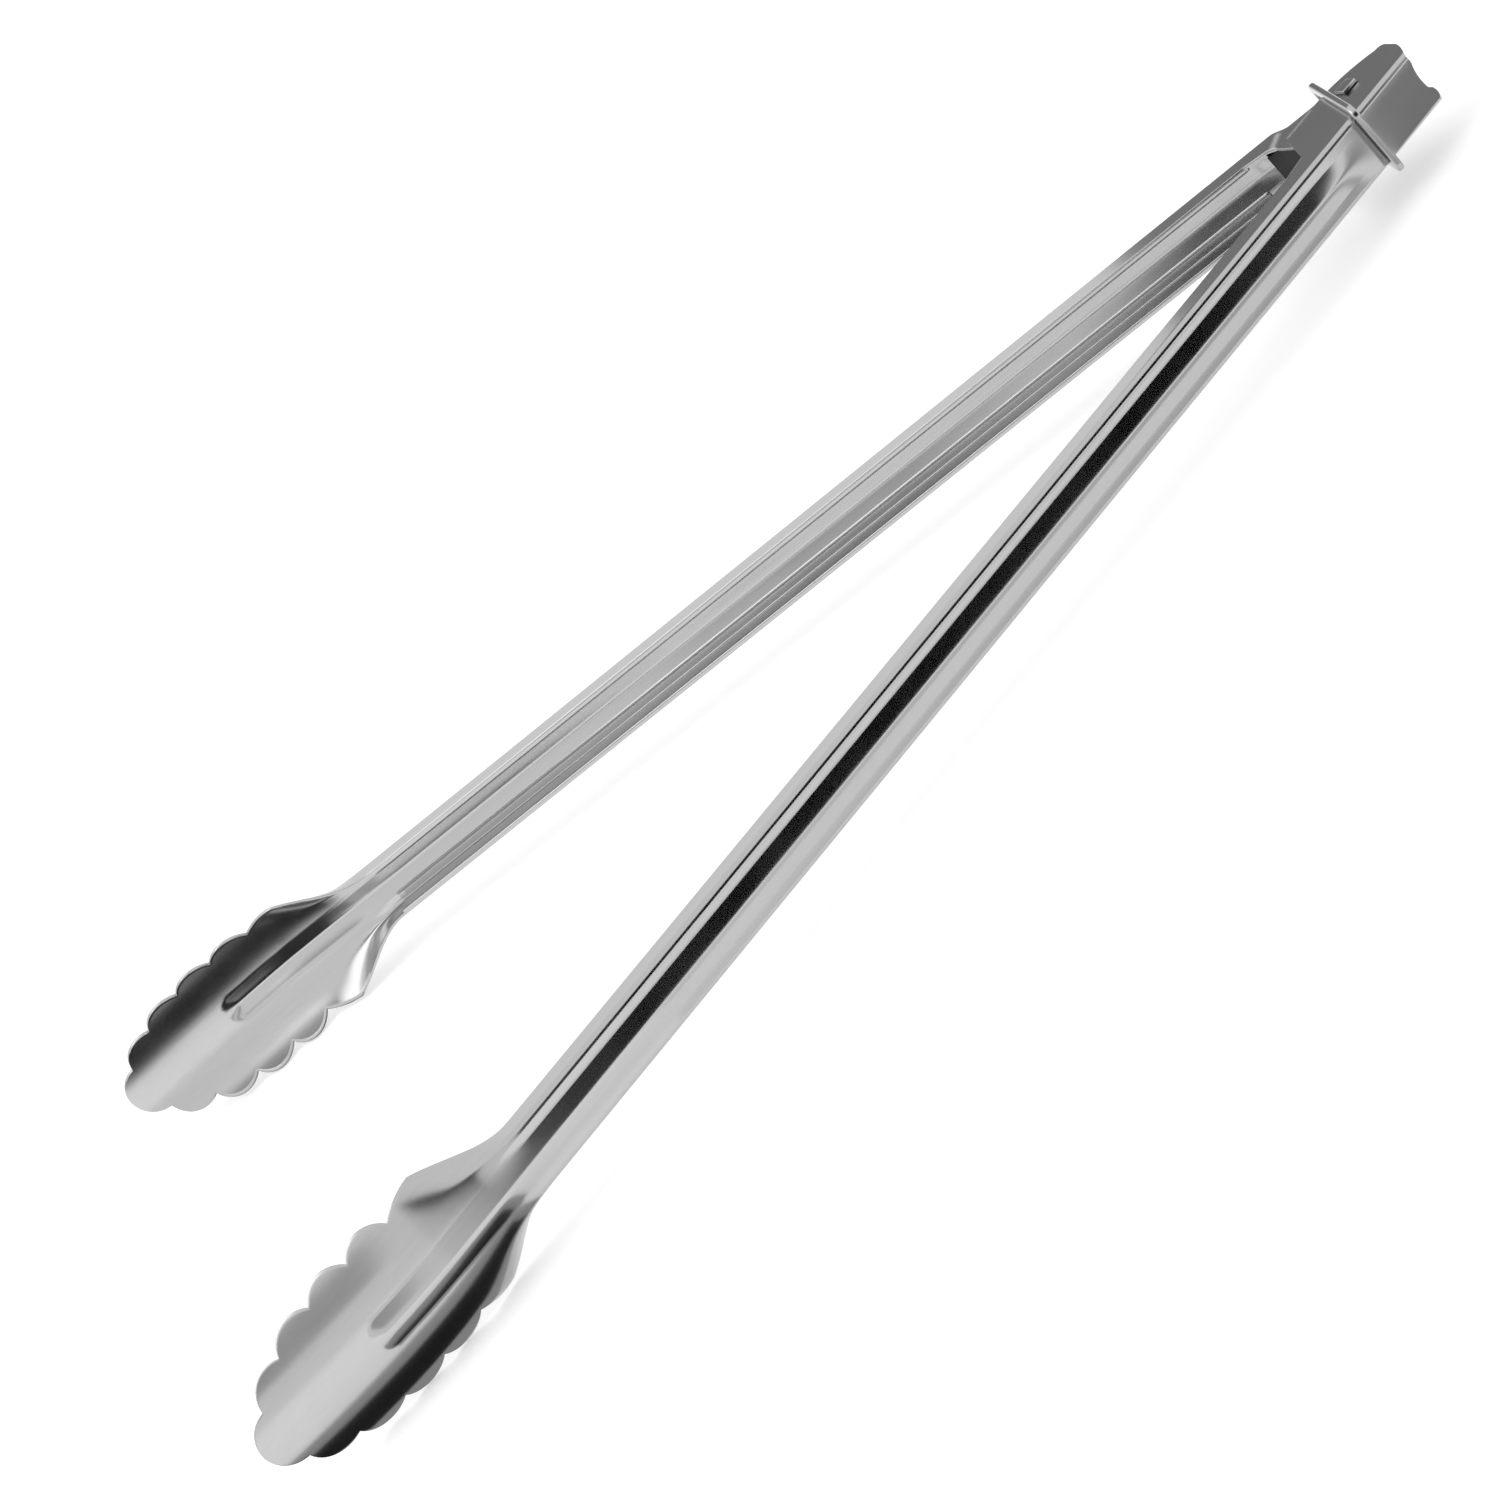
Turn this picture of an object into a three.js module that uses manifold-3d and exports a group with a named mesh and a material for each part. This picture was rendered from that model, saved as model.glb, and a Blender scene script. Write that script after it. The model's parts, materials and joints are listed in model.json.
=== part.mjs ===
// Spring loaded kitchen tongs, lying on their side and open. Millimetres, +Z up.
// The origin is the bottom centre of the bounding box, and the hinge axis is along Z.
// X runs from the head to the jaws, and the outer arm is on the +Y side.
import * as THREE from 'three';
import { mergeVertices } from 'three/addons/utils/BufferGeometryUtils.js';
import Module from 'manifold-3d';

const wasm = await Module();
wasm.setup();

// Overall sizes
const HALF_OPENING = THREE.MathUtils.degToRad(16);
const TIP = 395.5;
const OUTER_WEB = 13.4;
const INNER_WEB = 9.55;
const GAP = 0.35;

// Sheet and channel section of an arm
const SHEET = 0.8;
const HEM_SHEET = 1.3;
const ARM_WIDTH = 14.8;
const FLANGE = 6.8;
const CORNER_RADIUS = 1.6;
const RIB_HALF_WIDTH = 4.1;
const RIB_HEIGHT = 1.4;
const RIB_CREST_ROUNDING = 0.22;
const HEM_EDGE_STEP = 0.2;

// Stations along an arm, measured from the hinge axis
const WEB_TOP = -10.3;
const INNER_WEB_TOP = -10.4;
const LOFT_TOP = -17;
const RIB_START = 11;
const RIB_FULL = 32;
const HEM_START = 30;
const HEM_END = TIP - 87;
const FLARE_START = HEM_END + 0.5;
const FLARE_END = TIP - 56;
const FLAT_END = TIP - 72;
const DISH_START = TIP - 56.4;
const RIB_END = TIP - 32;
const NECK_START = 16.4;
const NECK_LENGTH = 5;
const NECK_SKEW = 0.5;

// Jaw
const WING_HALF_WIDTH = 18.6;
const DISH_CURVE = 0.0205;
const DISH_DEPTH = 9.1;
const DISH_POWER = 1.57;
const LOBE_BULGE = 0.235;
const TIP_BULGE = 6.7;
const SHOULDER_LENGTH = 23.5;
const SHOULDER_RISE = 4.2;
const SHOULDER_BULGE = 4.15;
// Valleys between the lobes: distance back from the tip, and half width
const VALLEYS = [
  [53, 14.7],
  [41, 15.3],
  [29.2, 15],
  [17.2, 12.4],
  [6.5, 7.1],
];

// Ears. The outer arm's ears lie outside the inner arm's.
const OUTER_EAR = { reach: 9.1, foot: 15.4, heel: 21.7 };
const INNER_EAR = { reach: 9.9, foot: 14, heel: 21 };
const EAR_HEEL_RISE = 1.5;
const EAR_END = 29.5;

// Hinge pin and the pockets over its ends
const PIN_RADIUS = 1.2;
const POCKET_HALF_WIDTH = 2;
const POCKET_TOP = -2.6;
const POCKET_BOTTOM = 1.9;
const POCKET_RAISE = 1.1;
const SLIT_WIDTH = 0.6;

// Leaf spring
const LEAF_THICKNESS = 0.6;
const LEAF_HALF_WIDTH = 3.4;
const LEAF_REACH = 22;
const LEAF_FOOT = 3;

// Lock ring
const RING_X = 4.2;
const RING_TILT = THREE.MathUtils.degToRad(-3);
const RING_DEPTH_CLEARANCE = 0.71;
const RING_WIDTH_CLEARANCE = 0.45;
const RING_BAND = 2.4;
const RING_THICKNESS = 1.7;
const RING_EDGE = 0.35;

const halfWidth = ARM_WIDTH / 2;
// Where the webs' outer faces cross the ring, either side of the hinge
const outerWebAtRing = webAtRing(OUTER_WEB);
const innerWebAtRing = webAtRing(INNER_WEB);
const innerHeadHalfWidth = halfWidth - SHEET - GAP;

function webAtRing(web) {
  return web / Math.cos(HALF_OPENING) + RING_X * Math.tan(HALF_OPENING);
}

function smooth(start, end, value) {
  return THREE.MathUtils.smoothstep(value, start, end);
}

function steel(color, roughness) {
  return new THREE.MeshStandardMaterial({ color, roughness, metalness: 1 });
}

// Booleans -----------------------------------------------------------------

function toSolid(geometry) {
  const bare = new THREE.BufferGeometry();
  bare.setAttribute('position', geometry.getAttribute('position'));
  bare.setIndex(geometry.getIndex());
  const merged = mergeVertices(bare, 1e-4);
  return new wasm.Manifold(new wasm.Mesh({
    numProp: 3,
    vertProperties: new Float32Array(merged.getAttribute('position').array),
    triVerts: new Uint32Array(merged.getIndex().array),
  }));
}

function toGeometry(solid) {
  const mesh = solid.getMesh();
  const geometry = new THREE.BufferGeometry();
  geometry.setAttribute('position', new THREE.BufferAttribute(mesh.vertProperties, 3));
  geometry.setIndex(new THREE.BufferAttribute(mesh.triVerts, 1));
  geometry.computeVertexNormals();
  return geometry;
}

// Extrudes a closed outline, drawn in the XY plane, from z = low to z = high.
function prism(points, low, high, curveSegments = 8) {
  const shape = points instanceof THREE.Shape ? points : new THREE.Shape(points);
  const settings = { depth: high - low, bevelEnabled: false, curveSegments };
  return new THREE.ExtrudeGeometry(shape, settings).translate(0, 0, low);
}

function vec(x, y) {
  return new THREE.Vector2(x, y);
}

// Arm surface ----------------------------------------------------------------
// An arm is drawn in its own frame: u along the arm, v outward from the hinge
// axis, z across. Each cross-section is a row of points from one lip to the other.

function ribProfile(z) {
  const x = Math.abs(z) / RIB_HALF_WIDTH;
  if (x >= 1) return 0;
  const e = RIB_CREST_ROUNDING;
  const edge = Math.hypot(1, e);
  return (edge - Math.hypot(x, e)) / (edge - e);
}

function ribHeight(u, z) {
  const rise = smooth(RIB_START, RIB_FULL, u);
  const past = Math.max(0, u - (RIB_END - RIB_HALF_WIDTH));
  return RIB_HEIGHT * rise * ribProfile(Math.hypot(z, past));
}

function dish(u) {
  const past = Math.max(0, u - DISH_START);
  return DISH_DEPTH * (past / (TIP - DISH_START)) ** DISH_POWER;
}

function hemmed(u) {
  return u > HEM_START && u < HEM_END;
}

// Half widths of the section where its points lie, from the middle to the lip.
function sectionStops() {
  const rib = [0, 0.22, 0.42, 0.62, 0.8].map((share) => share * RIB_HALF_WIDTH);
  return [...rib, RIB_HALF_WIDTH - HEM_EDGE_STEP, RIB_HALF_WIDTH];
}

// One point of the channel: [v, z, sheet is doubled here].
function channelHalf(u, arm) {
  const lip = arm.lipAt(u);
  const r = Math.min(CORNER_RADIUS, arm.halfWidthAt(u, 0) - RIB_HALF_WIDTH - 0.1);
  const points = sectionStops().map((z) => [arm.web + ribHeight(u, z), z, z >= RIB_HALF_WIDTH]);
  for (const turn of [0, 30, 60, 90]) {
    const angle = THREE.MathUtils.degToRad(turn);
    const side = arm.halfWidthAt(u, 0) - r + r * Math.sin(angle);
    points.push([arm.web - r + r * Math.cos(angle), side, true]);
  }
  for (const share of [0.33, 0.66, 1]) {
    const v = THREE.MathUtils.lerp(arm.web - r, lip, share);
    points.push([v, arm.halfWidthAt(u, arm.web - r - v), true]);
  }
  return points;
}

// The same points, opened out into the jaw's dished wing.
function jawHalf(u, arm, channel) {
  let run = 0;
  const runs = channel.map((point, i) => {
    if (i > 0) run += Math.hypot(point[0] - channel[i - 1][0], point[1] - channel[i - 1][1]);
    return run;
  });
  const ribRun = runs[sectionStops().length - 1];
  return channel.map((point, i) => {
    const share = (runs[i] - ribRun) / (run - ribRun);
    const spread = THREE.MathUtils.lerp(RIB_HALF_WIDTH, WING_HALF_WIDTH, share);
    const z = i < sectionStops().length ? point[1] : spread;
    return [arm.web - dish(u) - DISH_CURVE * z * z + ribHeight(u, z), z, false];
  });
}

function halfSection(u, arm) {
  const channel = channelHalf(u, arm);
  const flat = smooth(FLARE_START, FLAT_END, u);
  const open = smooth(FLARE_START, FLARE_END, u);
  if (flat === 0) return channel;
  const jaw = jawHalf(u, arm, channel);
  return channel.map((point, i) => [
    THREE.MathUtils.lerp(point[0], jaw[i][0], flat),
    THREE.MathUtils.lerp(point[1], jaw[i][1], open),
    point[2],
  ]);
}

function fullSection(u, arm) {
  const half = halfSection(u, arm);
  const mirrored = half.slice(1).reverse().map(([v, z, doubled]) => [v, -z, doubled]);
  return [...mirrored, ...half];
}

// The inside face lies one sheet, or two where the edge is folded over, below it.
function insideSection(outside, u) {
  const last = outside.length - 1;
  return outside.map(([v, z, doubled], i) => {
    const [v0, z0] = outside[Math.max(0, i - 1)];
    const [v1, z1] = outside[Math.min(last, i + 1)];
    const length = Math.hypot(v1 - v0, z1 - z0);
    const depth = doubled && hemmed(u) ? HEM_SHEET : SHEET;
    return [v - depth * (z1 - z0) / length, z + depth * (v1 - v0) / length];
  });
}

function stations() {
  const ears = [INNER_EAR.foot, OUTER_EAR.foot, 17.5, 19.5, INNER_EAR.heel, OUTER_EAR.heel];
  const head = [LOFT_TOP, RIB_START, ...ears, 24, 27];
  const arm = [EAR_END, HEM_START - 0.15, HEM_START + 0.15, RIB_FULL, 120, 215];
  const neck = [HEM_END - 0.15, HEM_END + 0.15, FLARE_START + 0.4];
  const jawSteps = 30;
  const jaw = [];
  for (let i = 1; i <= jawSteps; i += 1) {
    jaw.push(THREE.MathUtils.lerp(FLARE_START, TIP + 1, i / jawSteps));
  }
  const ribEnd = [0, 0.2, 0.4, 0.6, 0.8, 1].map((share) => RIB_END - share * RIB_HALF_WIDTH);
  const clear = jaw.filter((u) => ribEnd.every((other) => Math.abs(u - other) > 0.5));
  return [...head, ...arm, ...neck, ...clear, ...ribEnd].sort((a, b) => a - b);
}

function loftArm(arm) {
  const rows = stations().map((u) => {
    const outside = fullSection(u, arm);
    return { u, outside, inside: insideSection(outside, u) };
  });
  const across = rows[0].outside.length;
  const positions = [];
  for (const { u, outside, inside } of rows) {
    for (const [v, z] of [...outside, ...inside]) positions.push(u, v, z);
  }
  const index = [];
  const quad = (a, b, c, d) => index.push(a, b, c, a, c, d);
  const at = (row, side, i) => (row * 2 + side) * across + i;
  for (let row = 0; row + 1 < rows.length; row += 1) {
    for (let i = 0; i + 1 < across; i += 1) {
      quad(at(row, 0, i), at(row, 0, i + 1), at(row + 1, 0, i + 1), at(row + 1, 0, i));
      quad(at(row, 1, i), at(row + 1, 1, i), at(row + 1, 1, i + 1), at(row, 1, i + 1));
    }
    quad(at(row, 0, 0), at(row + 1, 0, 0), at(row + 1, 1, 0), at(row, 1, 0));
    const lip = across - 1;
    quad(at(row, 0, lip), at(row, 1, lip), at(row + 1, 1, lip), at(row + 1, 0, lip));
  }
  const end = rows.length - 1;
  for (let i = 0; i + 1 < across; i += 1) {
    quad(at(0, 0, i), at(0, 1, i), at(0, 1, i + 1), at(0, 0, i + 1));
    quad(at(end, 0, i), at(end, 0, i + 1), at(end, 1, i + 1), at(end, 1, i));
  }
  const geometry = new THREE.BufferGeometry();
  geometry.setAttribute('position', new THREE.Float32BufferAttribute(positions, 3));
  geometry.setIndex(index);
  return geometry;
}

// Jaw outline ----------------------------------------------------------------

// Points of an arc from a to b that bulges to the left of the line, without b.
function bulgeArc(a, b, rise, steps) {
  const chord = b.clone().sub(a);
  const length = chord.length();
  const radius = (length * length / 4 + rise * rise) / (2 * rise);
  const normal = vec(-chord.y, chord.x).divideScalar(length);
  const centre = a.clone().lerp(b, 0.5).addScaledVector(normal, rise - radius);
  const spoke = a.clone().sub(centre);
  const turn = 2 * Math.asin(Math.min(1, length / (2 * radius)));
  const sweep = rise > length / 2 ? 2 * Math.PI - turn : turn;
  const points = [];
  for (let i = 0; i < steps; i += 1) {
    points.push(spoke.clone().rotateAround(vec(0, 0), -sweep * i / steps).add(centre));
  }
  return points;
}

// One side of the outline, from the arm to the last valley, in (u, z).
function jawSide() {
  const valleys = VALLEYS.map(([back, z]) => vec(TIP - back, z));
  const points = [];
  const shoulder = vec(valleys[0].x - SHOULDER_LENGTH, valleys[0].y - SHOULDER_RISE);
  points.push(vec(shoulder.x, 30));
  points.push(...bulgeArc(shoulder, valleys[0], SHOULDER_BULGE, 12));
  for (let i = 0; i + 1 < valleys.length; i += 1) {
    const rise = LOBE_BULGE * valleys[i].distanceTo(valleys[i + 1]);
    points.push(...bulgeArc(valleys[i], valleys[i + 1], rise, 7));
  }
  return points;
}

function jawOutline() {
  const side = jawSide();
  const [back, z] = VALLEYS[VALLEYS.length - 1];
  const tip = bulgeArc(vec(TIP - back, z), vec(TIP - back, -z), TIP_BULGE, 12);
  const other = side.map((point) => vec(point.x, -point.y)).reverse();
  const head = [vec(LOFT_TOP - 5, -30), vec(LOFT_TOP - 5, 30)];
  return [...head, ...side, ...tip, vec(TIP - back, -z), ...other];
}

// A prism over an outline in (u, z), reaching across every v.
function cookieCutter() {
  const geometry = prism(jawOutline(), -60, 60);
  return geometry.rotateX(Math.PI / 2);
}

// Ears -----------------------------------------------------------------------

// Height of the flange's free edge: down to the ear's reach at the head, then back
// up to the arm's own flange.
function lip(u, web, ear) {
  const edge = web - FLANGE;
  const heel = edge - EAR_HEEL_RISE;
  if (u <= ear.foot) return -ear.reach;
  if (u <= ear.heel) {
    return THREE.MathUtils.mapLinear(u, ear.foot, ear.heel, -ear.reach, heel);
  }
  return THREE.MathUtils.mapLinear(Math.min(u, EAR_END), ear.heel, EAR_END, heel, edge);
}

// The inner arm's head is narrow, to fit between the outer ears, and widens to the
// arm below them along a line that slants like the ears' lower edge.
function neckHalfWidth(u, drop) {
  const start = NECK_START + NECK_SKEW * drop;
  return THREE.MathUtils.lerp(innerHeadHalfWidth, halfWidth, smooth(start, start + NECK_LENGTH, u));
}

const outerArm = {
  web: OUTER_WEB,
  webTop: WEB_TOP,
  halfWidthAt: () => halfWidth,
  lipAt: (u) => lip(u, OUTER_WEB, OUTER_EAR),
};

const innerArm = {
  web: INNER_WEB,
  webTop: INNER_WEB_TOP,
  halfWidthAt: neckHalfWidth,
  lipAt: (u) => lip(u, INNER_WEB, INNER_EAR),
};

// Side view of the outer head in (u, v), open towards the jaws: a domed top that
// runs down to the free edge of the ear.
function outerHeadOutline() {
  const shape = new THREE.Shape();
  shape.moveTo(TIP + 20, 30);
  shape.lineTo(WEB_TOP, 30);
  shape.lineTo(WEB_TOP, OUTER_WEB - 0.3);
  shape.quadraticCurveTo(WEB_TOP - 2.6, OUTER_WEB - 3.6, WEB_TOP - 4, OUTER_WEB - 8);
  shape.lineTo(WEB_TOP - 4.35, 0.2);
  shape.quadraticCurveTo(WEB_TOP - 4.2, -1.6, WEB_TOP - 2.4, -1.8);
  shape.quadraticCurveTo(WEB_TOP + 2.2, -5.9, WEB_TOP + 9.2, -8.1);
  shape.lineTo(WEB_TOP + 16, -OUTER_EAR.reach + 0.1);
  shape.lineTo(WEB_TOP + 17, -40);
  shape.lineTo(TIP + 20, -40);
  return shape;
}

function innerHeadOutline() {
  const shape = new THREE.Shape();
  const r = INNER_EAR.reach - 0.1;
  shape.moveTo(TIP + 20, 30);
  shape.lineTo(INNER_WEB_TOP, 30);
  shape.lineTo(INNER_WEB_TOP, INNER_WEB - 3);
  shape.lineTo(-r, 1.5);
  shape.lineTo(-r, 0);
  shape.absarc(0, 0, r, Math.PI, Math.PI * 1.5, false);
  shape.lineTo(1.5, -40);
  shape.lineTo(TIP + 20, -40);
  return shape;
}

// The web's top edge is hollowed a little between its corners.
function webNotch(arm) {
  const depth = 1;
  const reach = halfWidth * 0.66;
  const radius = (reach * reach + depth * depth) / (2 * depth);
  const disc = new THREE.CylinderGeometry(radius, radius, 3, 96);
  return disc.translate(arm.webTop + depth - radius, arm.web, 0);
}

function pocket(side) {
  const length = POCKET_BOTTOM - POCKET_TOP;
  const width = 2 * POCKET_HALF_WIDTH;
  const outside = halfWidth + POCKET_RAISE;
  const inside = halfWidth - SHEET / 2;
  const box = new THREE.BoxGeometry(length, width, outside - inside);
  const middle = (POCKET_TOP + POCKET_BOTTOM) / 2;
  return toSolid(box.translate(middle, 0, side * (outside + inside) / 2));
}

function slit(side) {
  const length = POCKET_BOTTOM - POCKET_TOP;
  const box = new THREE.BoxGeometry(length, SLIT_WIDTH, 3 * SHEET);
  const middle = (POCKET_TOP + POCKET_BOTTOM) / 2;
  return toSolid(box.translate(middle, POCKET_HALF_WIDTH + SLIT_WIDTH / 2, side * halfWidth));
}

function roundBar(radius, halfLength) {
  const bar = new THREE.CylinderGeometry(radius, radius, 2 * halfLength, 32);
  return bar.rotateX(Math.PI / 2);
}

function buildOuterArm() {
  let solid = toSolid(loftArm(outerArm));
  solid = solid.intersect(toSolid(cookieCutter()));
  solid = solid.intersect(toSolid(prism(outerHeadOutline(), -40, 40)));
  solid = solid.subtract(toSolid(webNotch(outerArm)));
  for (const side of [-1, 1]) {
    solid = solid.add(pocket(side)).subtract(slit(side));
  }
  const bore = roundBar(PIN_RADIUS + 0.3, halfWidth + 0.3);
  return solid.subtract(toSolid(bore));
}

function buildInnerArm() {
  let solid = toSolid(loftArm(innerArm));
  solid = solid.intersect(toSolid(cookieCutter()));
  solid = solid.intersect(toSolid(prism(innerHeadOutline(), -40, 40)));
  solid = solid.subtract(toSolid(webNotch(innerArm)));
  const bore = roundBar(PIN_RADIUS + 0.3, halfWidth + 0.3);
  return solid.subtract(toSolid(bore));
}

// Places a solid drawn in an arm's frame. side is +1 for the outer arm's side
// and -1 for the inner arm's, which is mirrored.
function armToWorld(solid, side) {
  const c = Math.cos(HALF_OPENING);
  const s = Math.sin(HALF_OPENING);
  const geometry = toGeometry(solid);
  const matrix = new THREE.Matrix4().set(
    c, -s, 0, 0,
    side * s, side * c, 0, 0,
    0, 0, 1, 0,
    0, 0, 0, 1,
  );
  geometry.applyMatrix4(matrix);
  if (side < 0) {
    const index = geometry.getIndex().array;
    for (let i = 0; i < index.length; i += 3) {
      [index[i], index[i + 1]] = [index[i + 1], index[i]];
    }
  }
  geometry.computeVertexNormals();
  return geometry;
}

// Leaf spring ----------------------------------------------------------------

function armPoint(u, v, side) {
  const c = Math.cos(HALF_OPENING);
  const s = Math.sin(HALF_OPENING);
  return vec(u * c - v * s, side * (u * s + v * c));
}

// Middle line of one leg, from its foot on the arm's floor to the bend.
function leafLeg(arm, side) {
  const floor = arm.web - SHEET - GAP - LEAF_THICKNESS / 2;
  const foot = armPoint(LEAF_REACH + LEAF_FOOT, floor, side);
  const heel = armPoint(LEAF_REACH, floor, side);
  return [foot, heel];
}

function leafLine() {
  const bend = PIN_RADIUS + 0.4 + LEAF_THICKNESS / 2;
  const line = [...leafLeg(outerArm, 1)];
  const steps = 14;
  for (let i = 0; i <= steps; i += 1) {
    const angle = THREE.MathUtils.lerp(118, 242, i / steps);
    const turn = THREE.MathUtils.degToRad(angle);
    line.push(vec(bend * Math.cos(turn), bend * Math.sin(turn)));
  }
  line.push(...leafLeg(innerArm, -1).reverse());
  return line;
}

// Offsets an open polyline to one side by a mitred distance.
function offsetLine(line, distance) {
  return line.map((point, i) => {
    const before = line[Math.max(0, i - 1)];
    const after = line[Math.min(line.length - 1, i + 1)];
    const into = i > 0 ? point.clone().sub(before).normalize() : after.clone().sub(point).normalize();
    const out = i + 1 < line.length ? after.clone().sub(point).normalize() : into.clone();
    const mitre = into.clone().add(out).normalize();
    const scale = distance / Math.max(0.5, mitre.dot(out));
    return vec(point.x - mitre.y * scale, point.y + mitre.x * scale);
  });
}

function buildLeafSpring() {
  const line = leafLine();
  const one = offsetLine(line, LEAF_THICKNESS / 2);
  const other = offsetLine(line, -LEAF_THICKNESS / 2).reverse();
  return prism([...one, ...other], -LEAF_HALF_WIDTH, LEAF_HALF_WIDTH);
}

// Lock ring ------------------------------------------------------------------

function roundedLoop(loop, y, z, radius) {
  loop.moveTo(y - radius, -z);
  loop.absarc(y - radius, radius - z, radius, -Math.PI / 2, 0, false);
  loop.absarc(y - radius, z - radius, radius, 0, Math.PI / 2, false);
  loop.absarc(radius - y, z - radius, radius, Math.PI / 2, Math.PI, false);
  loop.absarc(radius - y, radius - z, radius, Math.PI, Math.PI * 1.5, false);
  return loop;
}

function buildLockRing() {
  const band = RING_BAND - RING_EDGE;
  const y = (outerWebAtRing + innerWebAtRing) / 2 + RING_DEPTH_CLEARANCE + RING_EDGE;
  const z = halfWidth + RING_WIDTH_CLEARANCE + RING_EDGE;
  const shape = roundedLoop(new THREE.Shape(), y + band - RING_EDGE, z + band - RING_EDGE, 2.6);
  shape.holes.push(roundedLoop(new THREE.Path(), y, z, 0.9));
  const geometry = new THREE.ExtrudeGeometry(shape, {
    depth: RING_THICKNESS - 2 * RING_EDGE,
    bevelThickness: RING_EDGE,
    bevelSize: RING_EDGE,
    bevelSegments: 2,
    curveSegments: 6,
  });
  geometry.translate(0, 0, RING_EDGE - RING_THICKNESS / 2);
  const [x, up] = [new THREE.Vector3(1, 0, 0), new THREE.Vector3(0, 0, 1)];
  const turn = new THREE.Matrix4().makeBasis(new THREE.Vector3(0, 1, 0), up, x);
  return geometry.applyMatrix4(turn);
}

// Assembly -------------------------------------------------------------------

const tongs = new THREE.Group();

function addPiece(name, geometry, material) {
  const mesh = new THREE.Mesh(geometry, material);
  mesh.name = name;
  tongs.add(mesh);
  return mesh;
}

addPiece('outer_arm', armToWorld(buildOuterArm(), 1), steel(0xb9babc, 0.3));
addPiece('inner_arm', armToWorld(buildInnerArm(), -1), steel(0xbdbec0, 0.3));
addPiece('pivot_pin', roundBar(PIN_RADIUS, halfWidth), steel(0x9d9ea0, 0.35));
addPiece('leaf_spring', buildLeafSpring(), steel(0x6d6e70, 0.4));
const ring = addPiece('lock_ring', buildLockRing(), steel(0xb4b5b7, 0.28));
ring.position.set(RING_X, (outerWebAtRing - innerWebAtRing) / 2, 0);
ring.rotation.z = RING_TILT;

// The pieces are drawn round the hinge, then moved to put the origin at the
// bottom centre of the box they fill.
const box = new THREE.Box3().setFromObject(tongs, true);
const centre = box.getCenter(new THREE.Vector3());
for (const piece of tongs.children) {
  piece.position.sub(new THREE.Vector3(centre.x, centre.y, box.min.z));
}

export default tongs;
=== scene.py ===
# Spring loaded kitchen tongs: fine meshes, materials, light and camera round the CAD part.
import json
import math
import bpy
import bmesh
import numpy as np
from mathutils import Matrix, Vector


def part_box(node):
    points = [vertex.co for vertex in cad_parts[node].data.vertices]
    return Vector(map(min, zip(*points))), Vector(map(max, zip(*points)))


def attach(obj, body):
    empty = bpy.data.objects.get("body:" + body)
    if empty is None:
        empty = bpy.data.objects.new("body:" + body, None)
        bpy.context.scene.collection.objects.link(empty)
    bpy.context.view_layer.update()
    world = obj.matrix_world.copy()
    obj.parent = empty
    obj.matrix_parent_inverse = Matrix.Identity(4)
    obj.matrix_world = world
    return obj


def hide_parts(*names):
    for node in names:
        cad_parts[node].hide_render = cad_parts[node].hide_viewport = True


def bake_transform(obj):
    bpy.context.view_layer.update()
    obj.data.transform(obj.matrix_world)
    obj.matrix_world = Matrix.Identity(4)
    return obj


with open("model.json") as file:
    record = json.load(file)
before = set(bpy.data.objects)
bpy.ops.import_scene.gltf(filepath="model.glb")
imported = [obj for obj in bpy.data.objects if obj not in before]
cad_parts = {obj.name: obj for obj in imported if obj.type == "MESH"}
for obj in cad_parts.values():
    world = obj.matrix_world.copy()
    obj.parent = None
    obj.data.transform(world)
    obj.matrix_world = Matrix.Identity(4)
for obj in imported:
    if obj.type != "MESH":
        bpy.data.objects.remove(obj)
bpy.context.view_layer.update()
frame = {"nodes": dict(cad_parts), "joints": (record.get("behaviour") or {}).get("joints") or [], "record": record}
MM = 0.001
HINGE = Vector(frame["joints"][0]["pos_m"])
TO_WORLD = Matrix.Translation(HINGE) @ Matrix.Scale(MM, 4)

# Sizes in millimetres, the same as the CAD part's. In an arm's own frame u runs along
# the arm from the pin, v runs outward through the web and z runs up along the pin.
HALF_OPENING = math.radians(16)
OUTER_WEB, INNER_WEB, GAP = 13.4, 9.55, 0.35
SHEET, HEM_SHEET, ARM_WIDTH, FLANGE, CORNER_RADIUS = 0.8, 1.3, 14.8, 6.8, 1.6
RIB_HALF_WIDTH, RIB_HEIGHT, RIB_CREST_ROUNDING = 4.1, 1.4, 0.22
WEB_TOP, INNER_WEB_TOP, LOFT_TOP = -10.3, -10.4, -17.0
NOTCH_DEPTH, NOTCH_SHARE = 1.0, 0.66
TIP = 395.5
RIB_START, RIB_FULL, HEM_START = 11.0, 32.0, 30.0
HEM_END = TIP - 87
FLARE_START, FLARE_END, FLAT_END = TIP - 86.5, TIP - 56, TIP - 72
DISH_START, RIB_END = TIP - 56.4, TIP - 32
NECK_START, NECK_LENGTH, NECK_SKEW = 16.4, 5.0, 0.5
WING_HALF_WIDTH, DISH_CURVE, DISH_DEPTH, DISH_POWER = 18.6, 0.0205, 9.1, 1.57
LOBE_BULGE, TIP_BULGE = 0.235, 6.7
SHOULDER_LENGTH, SHOULDER_RISE, SHOULDER_BULGE = 23.5, 4.2, 4.15
VALLEYS = ((53, 14.7), (41, 15.3), (29.2, 15), (17.2, 12.4), (6.5, 7.1))
OUTER_EAR_REACH, OUTER_EAR_FOOT, OUTER_EAR_HEEL = 9.1, 15.4, 21.7
INNER_EAR_RADIUS, INNER_EAR_FOOT, INNER_EAR_HEEL = 9.9, 14.0, 21.0
EAR_HEEL_RISE, EAR_END = 1.5, 29.5
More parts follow.
